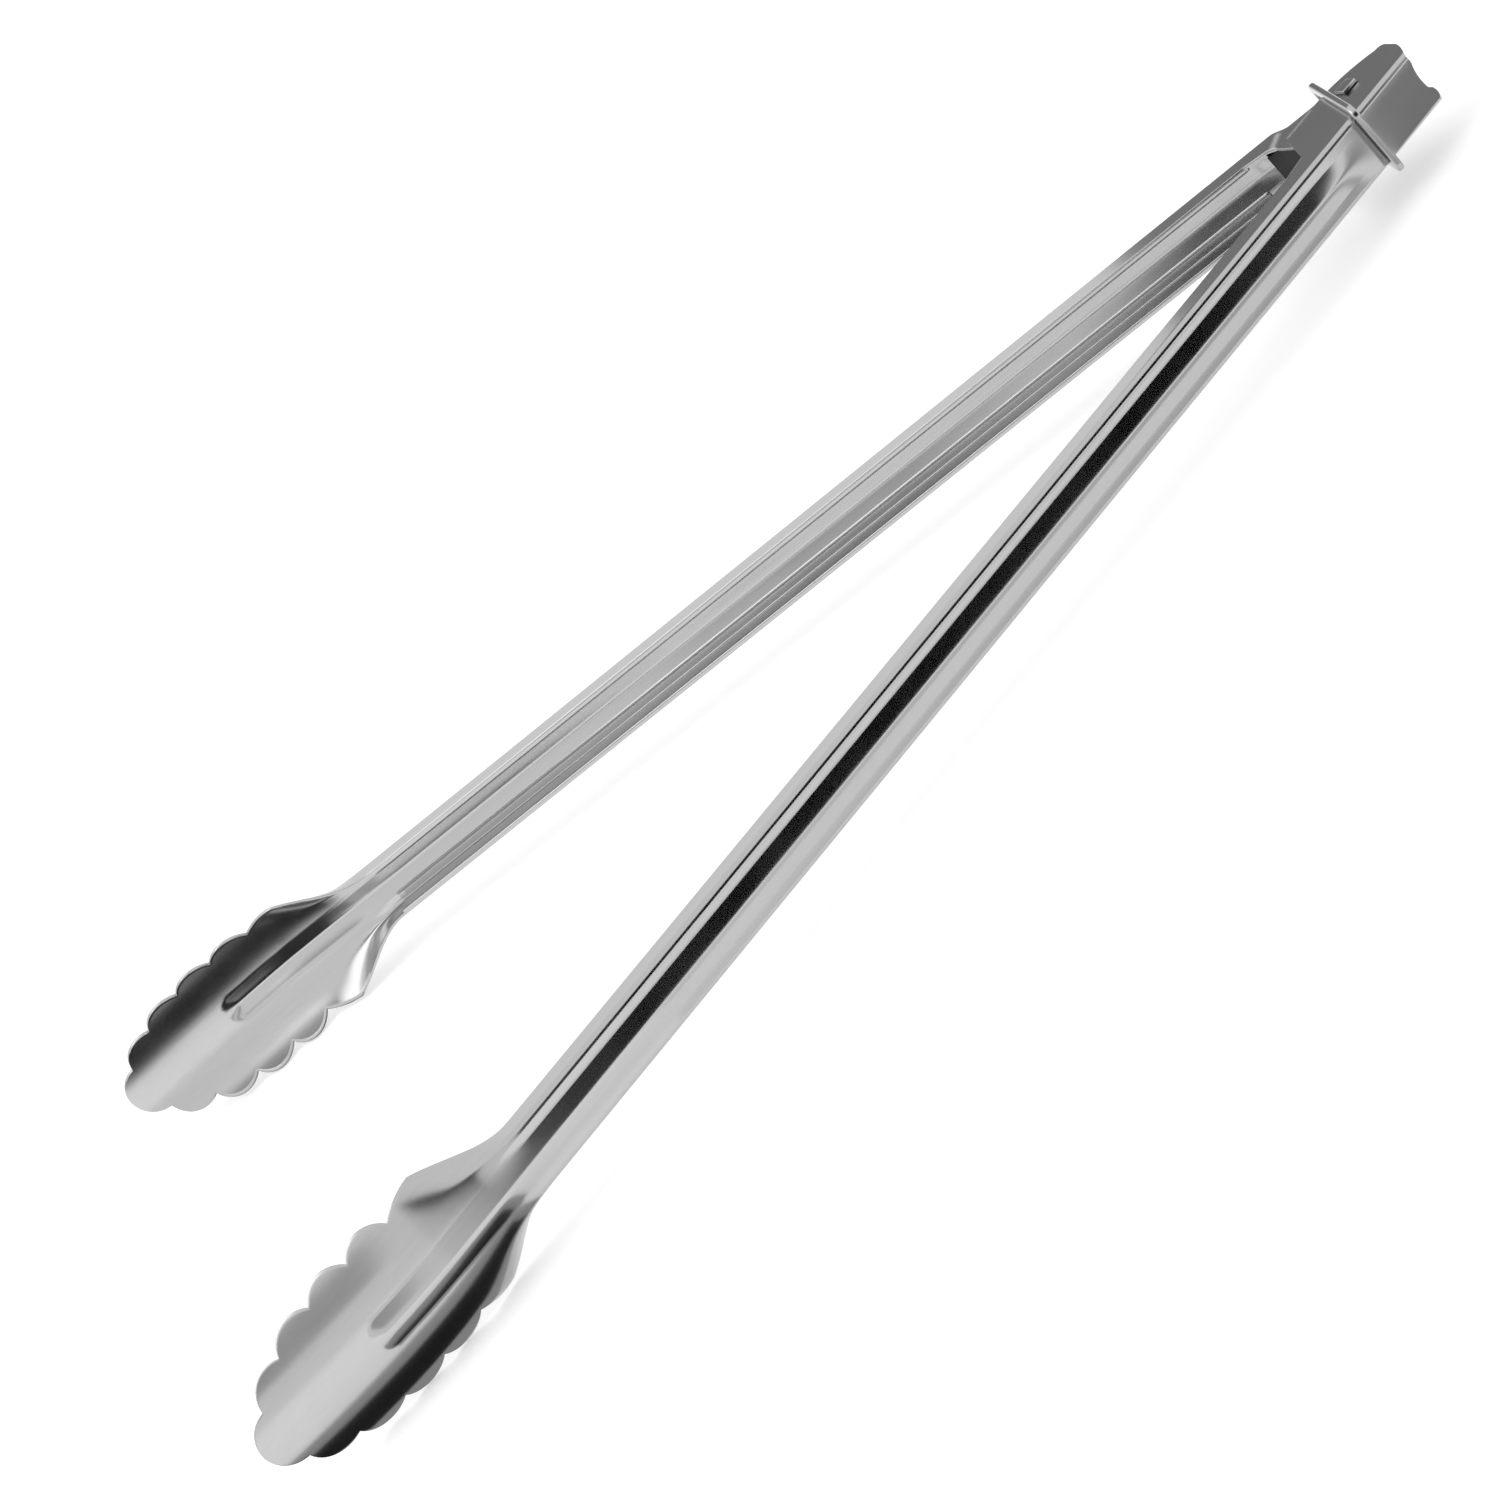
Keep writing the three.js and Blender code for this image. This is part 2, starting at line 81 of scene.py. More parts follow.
PIN_RADIUS, BORE_RADIUS, BORE_DEPTH = 1.2, 1.5, 0.3
POCKET_HALF_WIDTH, POCKET_TOP, POCKET_BOTTOM, POCKET_RAISE, SLIT_WIDTH = 2.0, -2.6, 1.9, 1.1, 0.6
LEAF_THICKNESS, LEAF_HALF_WIDTH, LEAF_REACH, LEAF_FOOT = 0.6, 3.4, 22.0, 3.0
LEAF_INSIDE = PIN_RADIUS + 0.4
LEAF_WRAP_START, LEAF_WRAP_END = math.radians(118), math.radians(242)
RING_X, RING_TILT = 4.2, math.radians(-3)
RING_DEPTH_CLEARANCE, RING_WIDTH_CLEARANCE = 0.71, 0.45
RING_BAND, RING_THICKNESS, RING_CORNER = 2.4, 1.7, 1.9
HALF_WIDTH = ARM_WIDTH / 2
INNER_HEAD_HALF_WIDTH = HALF_WIDTH - SHEET - GAP

# Roundings of the visible meshes' edges
LIP_ROUNDING, POCKET_BEVEL, PIN_BEVEL, LEAF_EDGE, RING_EDGE = 0.22, 0.3, 0.25, 0.2, 0.55

# Spacing of the arms' stations
HEAD_STEP, HANDLE_STEP, JAW_STEP, TIP_STRETCH, HEM_STEP = 0.75, 12, 0.6, 8, 0.1
HEAD_END, HANDLE_START, LEAST_STEP = 34, 40, 0.05

# How far the tools that cut an arm reach past it
PAST_TIP, TOOL_TOP, TOOL_REACH = 20, 30, 40

# The jaw outline's half width where it doesn't limit the arm
UNLIMITED = 99.0


def web_at_ring(web):
    return web / math.cos(HALF_OPENING) + RING_X * math.tan(HALF_OPENING)


OUTER_WEB_AT_RING, INNER_WEB_AT_RING = web_at_ring(OUTER_WEB), web_at_ring(INNER_WEB)


def smooth(start, end, x):
    t = min(1.0, max(0.0, (x - start) / (end - start)))
    return t * t * (3 - 2 * t)


def lerp(a, b, t):
    return a + (b - a) * t


# ------------------------------------------------------------------ arm surface

def rib_profile(z):
    """The rib's height across itself, from 1 at its rounded crest to 0 at its edge."""
    x = abs(z) / RIB_HALF_WIDTH
    if x >= 1:
        return 0.0
    edge = math.hypot(1, RIB_CREST_ROUNDING)
    return (edge - math.hypot(x, RIB_CREST_ROUNDING)) / (edge - RIB_CREST_ROUNDING)


def rib_height(u, z):
    past = max(0.0, u - (RIB_END - RIB_HALF_WIDTH))
    return RIB_HEIGHT * smooth(RIB_START, RIB_FULL, u) * rib_profile(math.hypot(z, past))


def dish(u):
    return DISH_DEPTH * (max(0.0, u - DISH_START) / (TIP - DISH_START)) ** DISH_POWER


def ear_lip(u, web, reach, foot, heel_at):
    """Where the flange ends: at the ear's reach, then up to the heel, then to the plain flange."""
    lip = web - FLANGE
    heel = lip - EAR_HEEL_RISE
    if u <= foot:
        return -reach
    if u <= heel_at:
        return lerp(-reach, heel, (u - foot) / (heel_at - foot))
    return lerp(heel, lip, min(1.0, (u - heel_at) / (EAR_END - heel_at)))


def outer_lip(u):
    return ear_lip(u, OUTER_WEB, OUTER_EAR_REACH, OUTER_EAR_FOOT, OUTER_EAR_HEEL)


def inner_lip(u):
    return ear_lip(u, INNER_WEB, INNER_EAR_RADIUS, INNER_EAR_FOOT, INNER_EAR_HEEL)


def neck_half_width(u, drop):
    """The inner arm is narrow at the head, to nest in the outer one, and widens over its neck.

    drop is the depth below the web: further down the flange the neck starts further along."""
    start = NECK_START + NECK_SKEW * drop
    return lerp(INNER_HEAD_HALF_WIDTH, HALF_WIDTH, smooth(start, start + NECK_LENGTH, u))


OUTER = {"web": OUTER_WEB, "top": WEB_TOP, "lip": outer_lip, "half": lambda u, drop: HALF_WIDTH}
INNER = {"web": INNER_WEB, "top": INNER_WEB_TOP, "lip": inner_lip, "half": neck_half_width}

RIB_ZS = [RIB_HALF_WIDTH * t for t in np.linspace(0, 1, 19)]


def side_path(u, arm):
    """The channel from the rib's edge to the lip: floor, corner and flange.

    Gives each point's share of the way, and the points as (v, z)."""
    web, lip = arm["web"], arm["lip"](u)
    r = min(CORNER_RADIUS, arm["half"](u, 0) - RIB_HALF_WIDTH - 0.1)
    pts = [(web, RIB_HALF_WIDTH)]
    for t in np.linspace(0, math.pi / 2, 9):
        pts.append((web - r + r * math.cos(t), arm["half"](u, 0) - r + r * math.sin(t)))
    for t in np.linspace(0, 1, 9)[1:]:
        v = lerp(web - r, lip, t)
        pts.append((v, arm["half"](u, web - r - v)))
    runs = [0.0]
    for a, b in zip(pts, pts[1:]):
        runs.append(runs[-1] + math.hypot(b[0] - a[0], b[1] - a[1]))
    return np.array(runs) / runs[-1], np.array(pts)


def arc_limit(a, b, rise, u):
    """Half width of an arc from a to b that bulges outward, at station u."""
    chord = math.hypot(b[0] - a[0], b[1] - a[1])
    radius = (chord * chord / 4 + rise * rise) / (2 * rise)
    nx, ny = -(b[1] - a[1]) / chord, (b[0] - a[0]) / chord
    cx = (a[0] + b[0]) / 2 + nx * (rise - radius)
    cy = (a[1] + b[1]) / 2 + ny * (rise - radius)
    return cy + math.sqrt(max(0.0, radius * radius - (u - cx) ** 2))


VALLEY_POINTS = [(TIP - back, z) for back, z in VALLEYS]
TIP_END = VALLEY_POINTS[-1][0] + TIP_BULGE
SHOULDER = (VALLEY_POINTS[0][0] - SHOULDER_LENGTH, VALLEY_POINTS[0][1] - SHOULDER_RISE)


def limit(u):
    """The jaw outline's half width at station u."""
    if u <= SHOULDER[0]:
        return UNLIMITED
    if u <= VALLEY_POINTS[0][0]:
        return arc_limit(SHOULDER, VALLEY_POINTS[0], SHOULDER_BULGE, u)
    for a, b in zip(VALLEY_POINTS, VALLEY_POINTS[1:]):
        if u <= b[0]:
            return arc_limit(a, b, LOBE_BULGE * math.hypot(b[0] - a[0], b[1] - a[1]), u)
    base, half = VALLEY_POINTS[-1]
    radius = (half * half + TIP_BULGE ** 2) / (2 * TIP_BULGE)
    centre = base + TIP_BULGE - radius
    return math.sqrt(max(0.0, radius * radius - (u - centre) ** 2))


def share_inside(side, edge):
    """The largest share of the side path whose point lies inside the outline."""
    if side(1.0)[1] <= edge:
        return 1.0
    low, high = 0.0, 1.0
    for _ in range(30):
        mid = (low + high) / 2
        if side(mid)[1] < edge:
            low = mid
        else:
            high = mid
    return low


def half_section(u, arm):
    """Points (v, z) of the outside face at station u, from the middle to the lip."""
    flat, opened = smooth(FLARE_START, FLAT_END, u), smooth(FLARE_START, FLARE_END, u)
    web, edge = arm["web"], limit(u)
    runs, path = side_path(u, arm)

    def wing(z, lift):
        return web - dish(u) - DISH_CURVE * z * z + lift

    def side(share):
        v = float(np.interp(share, runs, path[:, 0]))
        z = float(np.interp(share, runs, path[:, 1]))
        spread = lerp(RIB_HALF_WIDTH, WING_HALF_WIDTH, share)
        return lerp(v, wing(spread, 0), flat), lerp(z, spread, opened)

    shrink = min(1.0, edge / RIB_HALF_WIDTH)
    points = []
    for z in RIB_ZS:
        z *= shrink
        lift = rib_height(u, z)
        points.append((lerp(web + lift, wing(z, lift), flat), z))
    reach = share_inside(side, edge)
    shares = list(runs[1:])
    even = np.linspace(0, 1, len(shares) + 1)[1:]
    for share, flat_share in zip(shares, even):
        spot = lerp(share, flat_share, flat) * reach
        points.append(side(spot) if shrink == 1 else points[-1])
    return points


def section(u, arm):
    """The outside face's points at station u, and the inside face's, one sheet or hem below."""
    half = half_section(u, arm)
    outside = [(v, -z) for v, z in reversed(half[1:])] + half
    last = len(outside) - 1
    inside = []
    for i, (v, z) in enumerate(outside):
        v0, z0 = outside[max(0, i - 1)]
        v1, z1 = outside[min(last, i + 1)]
        length = math.hypot(v1 - v0, z1 - z0)
        nv, nz = -1.0, 0.0
        if length >= 1e-6:
            nv, nz = -(z1 - z0) / length, (v1 - v0) / length
        beside_rib = abs(i - last // 2) >= len(RIB_ZS) - 1
        depth = HEM_SHEET if beside_rib and HEM_START < u < HEM_END else SHEET
        inside.append((v + depth * nv, z + depth * nz))
    return outside, inside


def stations():
    """Where along the arm its sections lie: close at the head and the jaw, wide between."""
    hem = [HEM_START - HEM_STEP, HEM_START + HEM_STEP, HEM_END - HEM_STEP, HEM_END + HEM_STEP]
    head = list(np.arange(LOFT_TOP, HEAD_END, HEAD_STEP)) + [RIB_FULL]
    handle = list(np.arange(HANDLE_START, HEM_END - 8, HANDLE_STEP)) + [HEM_END - 4]
    jaw = list(np.arange(FLARE_START + 0.3, TIP_END - TIP_STRETCH, JAW_STEP))
    tip = [TIP_END - TIP_STRETCH * (1 - math.sin(t)) for t in np.linspace(0, math.pi / 2, 26)]
    tip[-1] = TIP_END - 0.0005
    valleys = [p[0] for p in VALLEY_POINTS]
    every = sorted(head + hem + handle + jaw + tip + valleys + [SHOULDER[0]])
    keep = [every[0]]
    needed = set(valleys + hem)
    for u in every[1:]:
        if u - keep[-1] > LEAST_STEP or u > TIP - 1 or u in needed:
            keep.append(u)
    return keep


def edge_normal(u):
    """Outward normal of the outline in (along, across) at station u."""
    if u < SHOULDER[0] + 0.5:
        return 0.0, 1.0
    d = 0.02
    high = min(u + d, TIP_END - 0.0001)
    slope = (limit(high) - limit(u - d)) / (high - u + d)
    length = math.hypot(slope, 1)
    return -slope / length, 1 / length


# ------------------------------------------------------------------ meshes

def add_object(name, mesh):
    o = bpy.data.objects.new(name, mesh)
    bpy.context.scene.collection.objects.link(o)
    return o


def closed_mesh(name, verts, faces, weld=0.0):
    """A mesh with its faces turned outward. Points within weld of each other become one."""
    mesh = bpy.data.meshes.new(name)
    mesh.from_pydata(verts, [], faces)
    bm = bmesh.new()
    bm.from_mesh(mesh)
    if weld:
        bmesh.ops.remove_doubles(bm, verts=bm.verts, dist=weld)
        bmesh.ops.dissolve_degenerate(bm, dist=weld, edges=bm.edges)
    bmesh.ops.recalc_face_normals(bm, faces=bm.faces)
    bm.to_mesh(mesh)
    bm.free()
    return mesh


def loft_faces(rows, n, closed=False):
    """Quads between rows of n points each. closed joins the last row to the first."""
    faces = []
    for r in range(rows if closed else rows - 1):
        here, there = r * n, (r + 1) % rows * n
        for i in range(n):
            j = (i + 1) % n
            faces.append((here + i, here + j, there + j, there + i))
    return faces


def rounded_rectangle(half_a, half_b, radius, steps):
    """Points round a rectangle with rounded corners, each with its outward direction."""
    points = []
    for sign_a, sign_b, start in ((1, 1, 0), (-1, 1, 90), (-1, -1, 180), (1, -1, 270)):
        for k in range(steps + 1):
            turn = math.radians(start + 90 * k / steps)
            out = (math.cos(turn), math.sin(turn))
            a = sign_a * (half_a - radius) + radius * out[0]
            b = sign_b * (half_b - radius) + radius * out[1]
            points.append(((a, b), out))
    return points


LIP_POINTS = 5


def rounded_lip(u, lip, before, under):
    """Points round the sheet's free edge, from the outside face's lip to the inside face's."""
    along, across = edge_normal(u)
    o, i = Vector((u, *lip)), Vector((u, *under))
    out = Vector((0, lip[0] - before[0], lip[1] - before[1]))
    out = out.normalized() if out.length > 1e-6 else Vector((0, 0, 0))
    push = (out * across + Vector((along, 0, 0))) * LIP_ROUNDING
    arc = []
    for k in range(1, LIP_POINTS + 1):
        turn = math.pi * k / (LIP_POINTS + 1)
        arc.append(tuple(o.lerp(i, (1 - math.cos(turn)) / 2) + push * math.sin(turn)))
    return arc


def arm_row(u, arm):
    """One closed row of points round the sheet at station u."""
    outside, inside = section(u, arm)
    right = rounded_lip(u, outside[-1], outside[-2], inside[-1])
    left = rounded_lip(u, outside[0], outside[1], inside[0])
    over = [(u, v, z) for v, z in outside]
    under = [(u, v, z) for v, z in reversed(inside)]
    return over + right + under + list(reversed(left))


def arm_cap(base, n, half, flip):
    """Faces that close an end row: quads through the sheet, and one face at each lip."""
    faces = []
    inside_start = half + LIP_POINTS
    for i in range(half - 1):
        a, b = base + i, base + i + 1
        c, d = base + inside_start + half - 2 - i, base + inside_start + half - 1 - i
        faces.append((a, d, c, b) if flip else (a, b, c, d))
    left = [base + i for i in range(inside_start + half - 1, n)] + [base]
    right = [base + half - 1 + i for i in range(0, LIP_POINTS + 2)]
    for lip in (left, right):
        faces.append(tuple(lip) if flip else tuple(reversed(lip)))
    return faces


def arm_mesh(name, arm):
    """The arm's sheet, with rounded free edges, in its own frame: u, v, z."""
    rows = [arm_row(u, arm) for u in stations()]
    n = len(rows[0])
    faces = loft_faces(len(rows), n)
    half = len(section(0, arm)[0])
    faces += arm_cap(0, n, half, True)
    faces += arm_cap((len(rows) - 1) * n, n, half, False)
    return closed_mesh(name, [p for row in rows for p in row], faces, 1e-5)


def prism_object(name, points, low, high):
    """A closed prism over points in (u, v), from z = low to z = high."""
    n = len(points)
    verts = [(u, v, low) for u, v in points] + [(u, v, high) for u, v in points]
    faces = [tuple(reversed(range(n))), tuple(range(n, 2 * n))]
    faces += [(i, (i + 1) % n, n + (i + 1) % n, n + i) for i in range(n)]
    return add_object(name, closed_mesh(name, verts, faces))


def quadratic(a, b, c, steps=14):
    """Points on a quadratic curve from a to c, without a itself."""
    points = []
    for i in range(1, steps + 1):
        t = i / steps
        points.append(tuple(lerp(lerp(a[k], b[k], t), lerp(b[k], c[k], t), t) for k in (0, 1)))
    return points


def outer_outline():
    """The outer head seen along the pin, in (u, v), carried on past the jaw.

    From the web's top edge it runs down the ear's end, round its lower corner and along its lip."""
    w, top = WEB_TOP, OUTER_WEB
    pts = [(TIP + PAST_TIP, TOOL_TOP), (w, TOOL_TOP), (w, top - 0.3)]
    pts += quadratic((w, top - 0.3), (w - 2.6, top - 3.6), (w - 4, top - 8))
    pts += [(w - 4.35, 0.2)]
    pts += quadratic((w - 4.35, 0.2), (w - 4.2, -1.6), (w - 2.4, -1.8))
    pts += quadratic((w - 2.4, -1.8), (w + 2.2, -5.9), (w + 9.2, -8.1))
    pts += [(w + 16, 0.1 - OUTER_EAR_REACH), (w + 17, -TOOL_REACH), (TIP + PAST_TIP, -TOOL_REACH)]
    return pts


def inner_outline():
    """The inner head seen along the pin: a straight top and a round ear."""
    r = INNER_EAR_RADIUS - 0.1
    pts = [(TIP + PAST_TIP, TOOL_TOP), (INNER_WEB_TOP, TOOL_TOP), (INNER_WEB_TOP, INNER_WEB - 3), (-r, 1.5)]
    pts += [(r * math.cos(t), r * math.sin(t)) for t in np.linspace(math.pi, 1.5 * math.pi, 32)]
    pts += [(1.5, -TOOL_REACH), (TIP + PAST_TIP, -TOOL_REACH)]
    return pts


def apply_modifiers(o):
    graph = bpy.context.evaluated_depsgraph_get()
    made = bpy.data.meshes.new_from_object(o.evaluated_get(graph), depsgraph=graph)
    o.modifiers.clear()
    old = o.data
    o.data = made
    bpy.data.meshes.remove(old)


def cut(target, tool, operation):
    modifier = target.modifiers.new("cut", "BOOLEAN")
    modifier.operation = operation
    modifier.solver = "MANIFOLD"
    modifier.object = tool
    apply_modifiers(target)
    bpy.data.objects.remove(tool)


def cylinder_object(name, radius, half_length, segments):
    bm = bmesh.new()
    bmesh.ops.create_cone(
        bm, cap_ends=True, segments=segments, radius1=radius, radius2=radius, depth=2 * half_length
    )
    mesh = bpy.data.meshes.new(name)
    bm.to_mesh(mesh)
    bm.free()
    return add_object(name, mesh)


def box_object(name, low, high, bevel=0.0):
    bm = bmesh.new()
    bmesh.ops.create_cube(bm, size=1)
    for v in bm.verts:
        v.co = Vector([lerp(low[k], high[k], v.co[k] + 0.5) for k in range(3)])
    if bevel:
        bmesh.ops.bevel(bm, geom=list(bm.edges), offset=bevel, segments=4, profile=0.5, affect="EDGES")
    mesh = bpy.data.meshes.new(name)
    bm.to_mesh(mesh)
    bm.free()
    return add_object(name, mesh)


def finish_mesh(o, angle=32):
    """Shades smooth, with creases where faces meet at more than angle degrees."""
    for p in o.data.polygons:
        p.use_smooth = True
    o.data.set_sharp_from_angle(angle=math.radians(angle))
    o.data.update()


# ------------------------------------------------------------------ arms

def notch_tool(arm):
    """A disc that hollows the web's top edge a little between its corners."""
    reach = HALF_WIDTH * NOTCH_SHARE
    radius = (reach * reach + NOTCH_DEPTH * NOTCH_DEPTH) / (2 * NOTCH_DEPTH)
    half_thickness = 1.5
    tool = cylinder_object("notch", radius, half_thickness, 256)
    tool.data.transform(Matrix.Rotation(math.pi / 2, 4, "X"))
    tool.data.transform(Matrix.Translation((arm["top"] + NOTCH_DEPTH - radius, arm["web"], 0)))
    return tool


def add_pocket(o, side):
    """A raised pocket that closes the pin's bore, with a slit along it."""
    near, far = sorted((side * (HALF_WIDTH - SHEET / 2), side * (HALF_WIDTH + POCKET_RAISE)))
    low, high = (POCKET_TOP, -POCKET_HALF_WIDTH, near), (POCKET_BOTTOM, POCKET_HALF_WIDTH, far)
    cut(o, box_object("pocket", low, high, POCKET_BEVEL), "UNION")
    middle, half = side * HALF_WIDTH, 1.5 * SHEET
    low = (POCKET_TOP, POCKET_HALF_WIDTH, middle - half)
    high = (POCKET_BOTTOM, POCKET_HALF_WIDTH + SLIT_WIDTH, middle + half)
    cut(o, box_object("slit", low, high), "DIFFERENCE")


def build_arm(name, arm, outline, pocket_sides, side):
    """An arm cut to its head's outline and bored, and placed: side 1 is the outer arm's."""
    o = add_object(name, arm_mesh(name, arm))
    cut(o, prism_object("head", outline, -TOOL_REACH, TOOL_REACH), "INTERSECT")
    cut(o, notch_tool(arm), "DIFFERENCE")
    for pocket_side in pocket_sides:
        add_pocket(o, pocket_side)
    cut(o, cylinder_object("bore", BORE_RADIUS, HALF_WIDTH + BORE_DEPTH, 96), "DIFFERENCE")
    c, s = math.cos(HALF_OPENING), math.sin(HALF_OPENING)
    matrix = Matrix(((c, -s, 0, 0), (side * s, side * c, 0, 0), (0, 0, 1, 0), (0, 0, 0, 1)))
    o.data.transform(TO_WORLD @ matrix)
    if side < 0:
        o.data.flip_normals()
    finish_mesh(o)
    return o


# ------------------------------------------------------------------ small pieces

def build_pin():
    o = cylinder_object("hinge_pin", PIN_RADIUS, HALF_WIDTH, 64)
    bevel = o.modifiers.new("bevel", "BEVEL")
    bevel.width = PIN_BEVEL
    bevel.segments = 2
    bevel.limit_method = "ANGLE"
    bevel.angle_limit = math.radians(50)
    bevel.use_clamp_overlap = True
    bevel.harden_normals = False
    apply_modifiers(o)
    o.data.transform(TO_WORLD)
    finish_mesh(o)
    return o


def arm_point(u, v, side):
    c, s = math.cos(HALF_OPENING), math.sin(HALF_OPENING)
    return Vector((u * c - v * s, side * (u * s + v * c)))


def leaf_leg(arm, side, wrap):
    """One leg of the leaf's middle line, from its foot on the arm's floor to the bend."""
    floor = arm["web"] - SHEET - GAP - LEAF_THICKNESS / 2
    foot, heel = arm_point(LEAF_REACH + LEAF_FOOT, floor, side), arm_point(LEAF_REACH, floor, side)
    bend = LEAF_INSIDE + LEAF_THICKNESS / 2
    top = Vector((bend * math.cos(wrap), bend * math.sin(wrap)))
    return [foot, heel] + [heel.lerp(top, t) for t in (0.04, 0.5, 0.96)]


def leaf_line():
    bend = LEAF_INSIDE + LEAF_THICKNESS / 2
    turns = np.linspace(LEAF_WRAP_START, LEAF_WRAP_END, 28)
    arc = [Vector((bend * math.cos(t), bend * math.sin(t))) for t in turns]
    back = reversed(leaf_leg(INNER, -1, LEAF_WRAP_END))
    return leaf_leg(OUTER, 1, LEAF_WRAP_START) + arc + list(back)


def ribbon(name, line, thickness, half_width, edge):
    """A strip along line in (x, y), with rounded long edges."""
    profile = [point for point, _ in rounded_rectangle(thickness / 2, half_width, edge, 4)]
    verts, n = [], len(profile)
    for i, p in enumerate(line):
        a, b = line[max(0, i - 1)], line[min(len(line) - 1, i + 1)]
        into = (p - a).normalized() if i else (b - p).normalized()
        out = (b - p).normalized() if i + 1 < len(line) else into
        mitre = (into + out).normalized()
        normal = Vector((-mitre.y, mitre.x)) / max(0.5, mitre.dot(out))
        verts += [(p.x + normal.x * d, p.y + normal.y * d, z) for d, z in profile]
    faces = loft_faces(len(line), n)
    faces += [tuple(reversed(range(n))), tuple(range((len(line) - 1) * n, len(line) * n))]
    mesh = closed_mesh(name, verts, faces)
    mesh.transform(TO_WORLD)
    return add_object(name, mesh)


def build_ring():
    """A flat band swept round a rounded rectangle, with rounded edges."""
    half_depth = (OUTER_WEB_AT_RING + INNER_WEB_AT_RING) / 2 + RING_DEPTH_CLEARANCE + RING_BAND / 2
    half_width = HALF_WIDTH + RING_WIDTH_CLEARANCE + RING_BAND / 2
    path = rounded_rectangle(half_depth, half_width, RING_CORNER, 12)
    profile = [point for point, _ in rounded_rectangle(RING_BAND / 2, RING_THICKNESS / 2, RING_EDGE, 6)]
    verts = [(x, at[0] + out[0] * r, at[1] + out[1] * r) for at, out in path for r, x in profile]
    faces = loft_faces(len(path), len(profile), closed=True)
    mesh = closed_mesh("lock_ring_steel", verts, faces)
    place = Matrix.Translation((RING_X, (OUTER_WEB_AT_RING - INNER_WEB_AT_RING) / 2, 0))
    mesh.transform(TO_WORLD @ place @ Matrix.Rotation(RING_TILT, 4, "Z"))
    return add_object("lock_ring_steel", mesh)


outer = build_arm("outer_arm_steel", OUTER, outer_outline(), (-1, 1), 1)
inner = build_arm("inner_arm_steel", INNER, inner_outline(), (), -1)
pin = build_pin()
leaf = ribbon("leaf_spring_steel", leaf_line(), LEAF_THICKNESS, LEAF_HALF_WIDTH, LEAF_EDGE)
finish_mesh(leaf)
ring = build_ring()
finish_mesh(ring, 60)


# ------------------------------------------------------------------ materials

# The share of its recorded colour that the steel keeps: a painted shade over all the steel, so that it mirrors the
# white room and floor less brightly
PAINTED_SHADE_SHARE = 0.8
STREAK, BRUSHING_RELIEF, BRUSHING_DEPTH = 0.05, 0.02, 0.0001
LINE_SCALE, CLOUD_SCALE = 18.0, 45.0
ROUGHNESS_SPREAD = 0.1


def add_node(tree, kind, values, **settings):
    """Adds a shader node. A socket in values is linked to its input, and any other value is set."""
    node = tree.nodes.new("ShaderNode" + kind)
    for key, value in settings.items():
        setattr(node, key, value)
    for key, value in values.items():
        if isinstance(value, bpy.types.NodeSocket):
            tree.links.new(value, node.inputs[key])
        else:
            node.inputs[key].default_value = value
    return node


def new_material(name):
    material = bpy.data.materials.new(name)
    material.use_nodes = True
    return material, material.node_tree


def steel(name, color, roughness, turn, grain=900.0):
    """Brushed steel. turn is the brushing direction's angle about Z, in radians."""
    material, tree = new_material(name)
    place = add_node(tree, "TexCoord", {}).outputs["Object"]
    turned = add_node(tree, "Mapping", {"Vector": place, "Rotation": (0, 0, turn)}, vector_type="TEXTURE")
    along = turned.outputs["Vector"]
    stretch = add_node(tree, "Mapping", {"Vector": along, "Scale": (LINE_SCALE, grain, grain)})
    fine = {"Vector": stretch.outputs["Vector"], "Scale": 1.0, "Detail": 4.0, "Roughness": 0.6}
    lines = add_node(tree, "TexNoise", fine).outputs["Fac"]
    cloud = add_node(tree, "TexNoise", {"Vector": along, "Scale": CLOUD_SCALE, "Detail": 3.0}).outputs["Fac"]
    tone = add_node(tree, "MapRange", {"Value": lines, "To Min": 1 - STREAK, "To Max": 1 + STREAK})
    # Painted shade: the recorded colour scaled down by the share above, the same all over the steel
    shaded_colour = [part * PAINTED_SHADE_SHARE for part in color]
    tint = add_node(tree, "VectorMath", {0: shaded_colour, "Scale": tone.outputs["Result"]}, operation="SCALE")
    spread = {0: cloud, 1: ROUGHNESS_SPREAD, 2: roughness - ROUGHNESS_SPREAD / 2}
    gloss = add_node(tree, "Math", spread, operation="MULTIPLY_ADD")
    height = {"Height": lines, "Strength": BRUSHING_RELIEF, "Distance": BRUSHING_DEPTH}
    relief = add_node(tree, "Bump", height)
    shader = tree.nodes["Principled BSDF"]
    shader.inputs["Metallic"].default_value = 1.0
    tree.links.new(tint.outputs["Vector"], shader.inputs["Base Color"])
    tree.links.new(gloss.outputs["Value"], shader.inputs["Roughness"])
    tree.links.new(relief.outputs["Normal"], shader.inputs["Normal"])
    return material


def colour(slot):
    found = [m for m in frame["record"]["materials"] if m["slot"] == slot]
    return tuple(found[0]["base_color"])


def dress(o, slot, body, roughness, turn, *nodes, **detail):
    """Gives a piece its steel, its body and the CAD nodes that it replaces."""
    o.data.materials.clear()
    o.data.materials.append(steel(slot, colour(slot), roughness, turn, **detail))
    if body:
        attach(o, body)
    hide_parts(*nodes)


dress(outer, "outer_arm_steel", "outer", 0.2, HALF_OPENING, "outer_arm")
dress(inner, "inner_arm_steel", "inner", 0.2, -HALF_OPENING, "inner_arm")
dress(pin, "pin_steel", "outer", 0.35, 0, "pivot_pin", grain=300.0)
dress(leaf, "spring_steel", None, 0.4, 0, "leaf_spring")
dress(ring, "ring_steel", "ring", 0.22, 0, "lock_ring", grain=500.0)
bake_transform(leaf)


# ------------------------------------------------------------------ floor, light and camera

